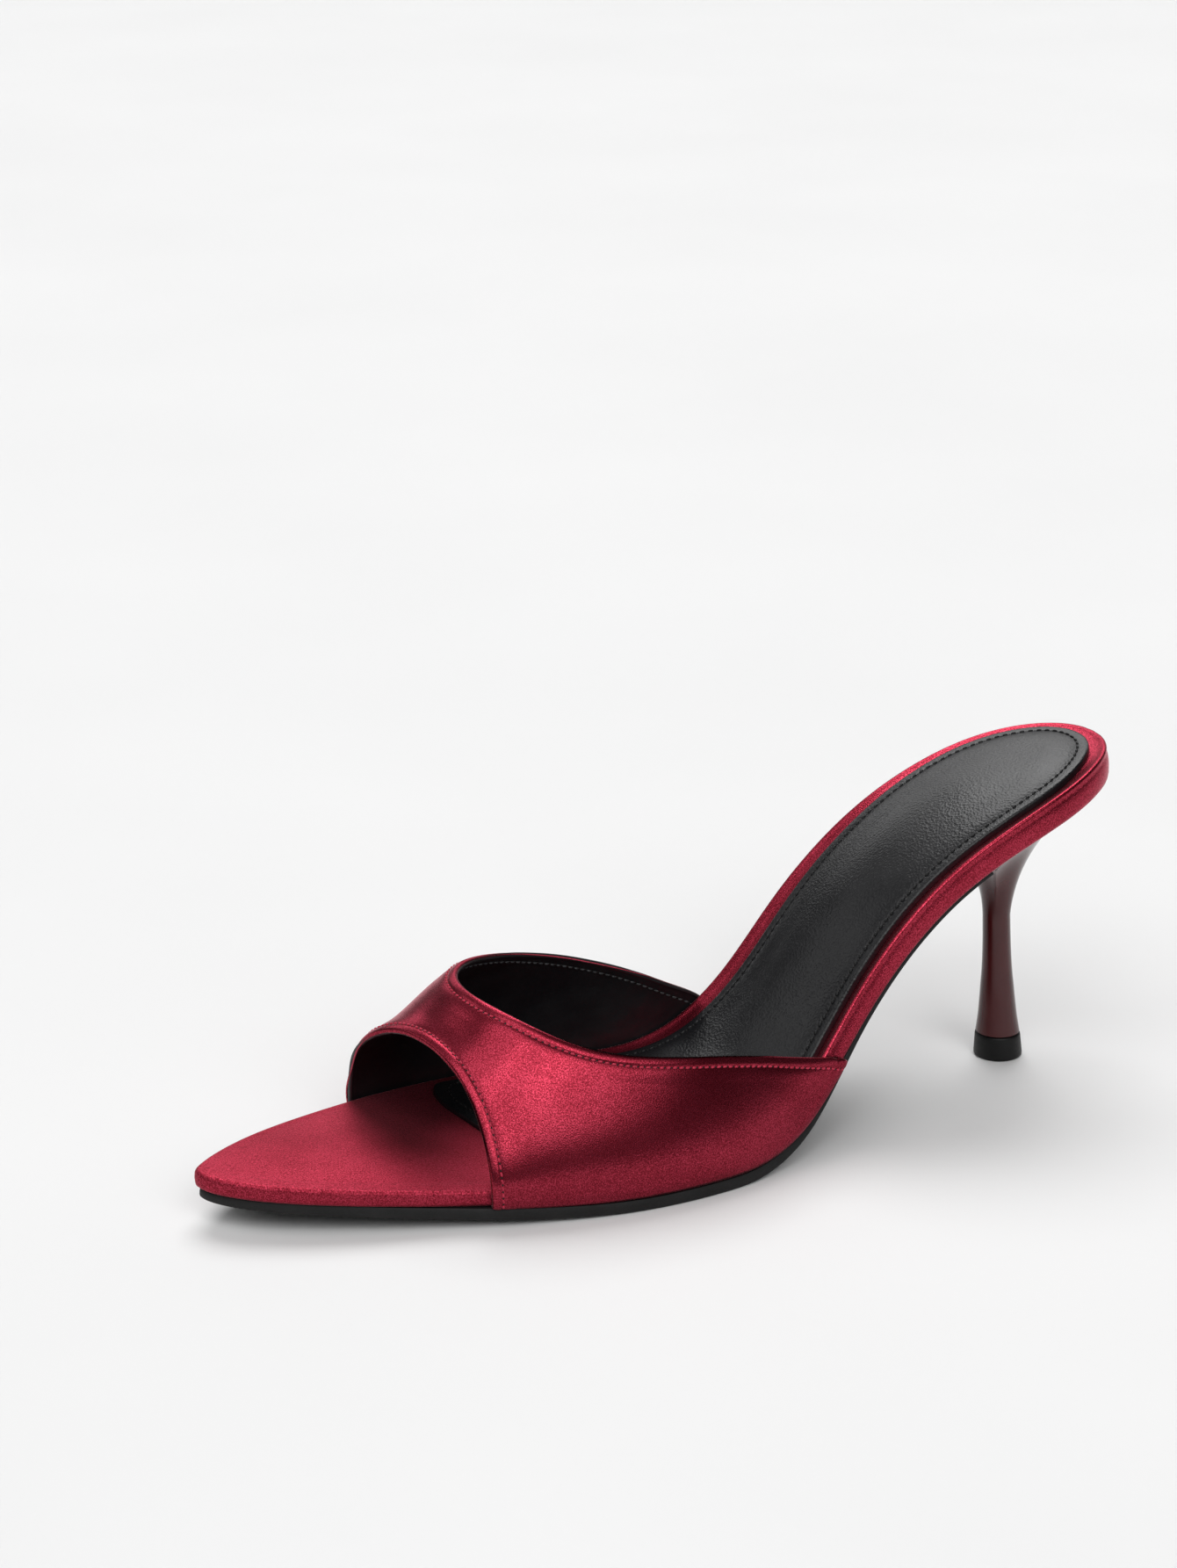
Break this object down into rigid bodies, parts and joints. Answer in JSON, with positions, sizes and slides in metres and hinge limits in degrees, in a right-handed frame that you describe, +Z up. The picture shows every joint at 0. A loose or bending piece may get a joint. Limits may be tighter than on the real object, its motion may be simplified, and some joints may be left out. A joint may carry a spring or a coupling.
{
  "type": "open-toe stiletto mule",
  "caption": "Left open-toe stiletto mule: a satin vamp band over a wrapped, arched footbed with a padded sock, a thin outsole and a slim flared heel with a black top piece.",
  "frame": {"origin": "middle of the bounding box on the floor", "axes": "+X from the toe to the heel, +Y towards the inner side of the foot, +Z up"},
  "size_m": [0.2286, 0.0738, 0.0789],
  "materials": {
    "satin": "burgundy satin",
    "sock_leather": "black grained leather over foam",
    "outsole": "matte black",
    "heel_lacquer": "dark burgundy lacquer",
    "top_piece": "smooth black"
  },
  "bodies": {
    "root": {"outsole": "outsole", "footbed": "satin", "insole": "sock_leather", "upper": "satin", "heel": "heel_lacquer", "top_piece": "top_piece"}
  },
  "joints": []
}
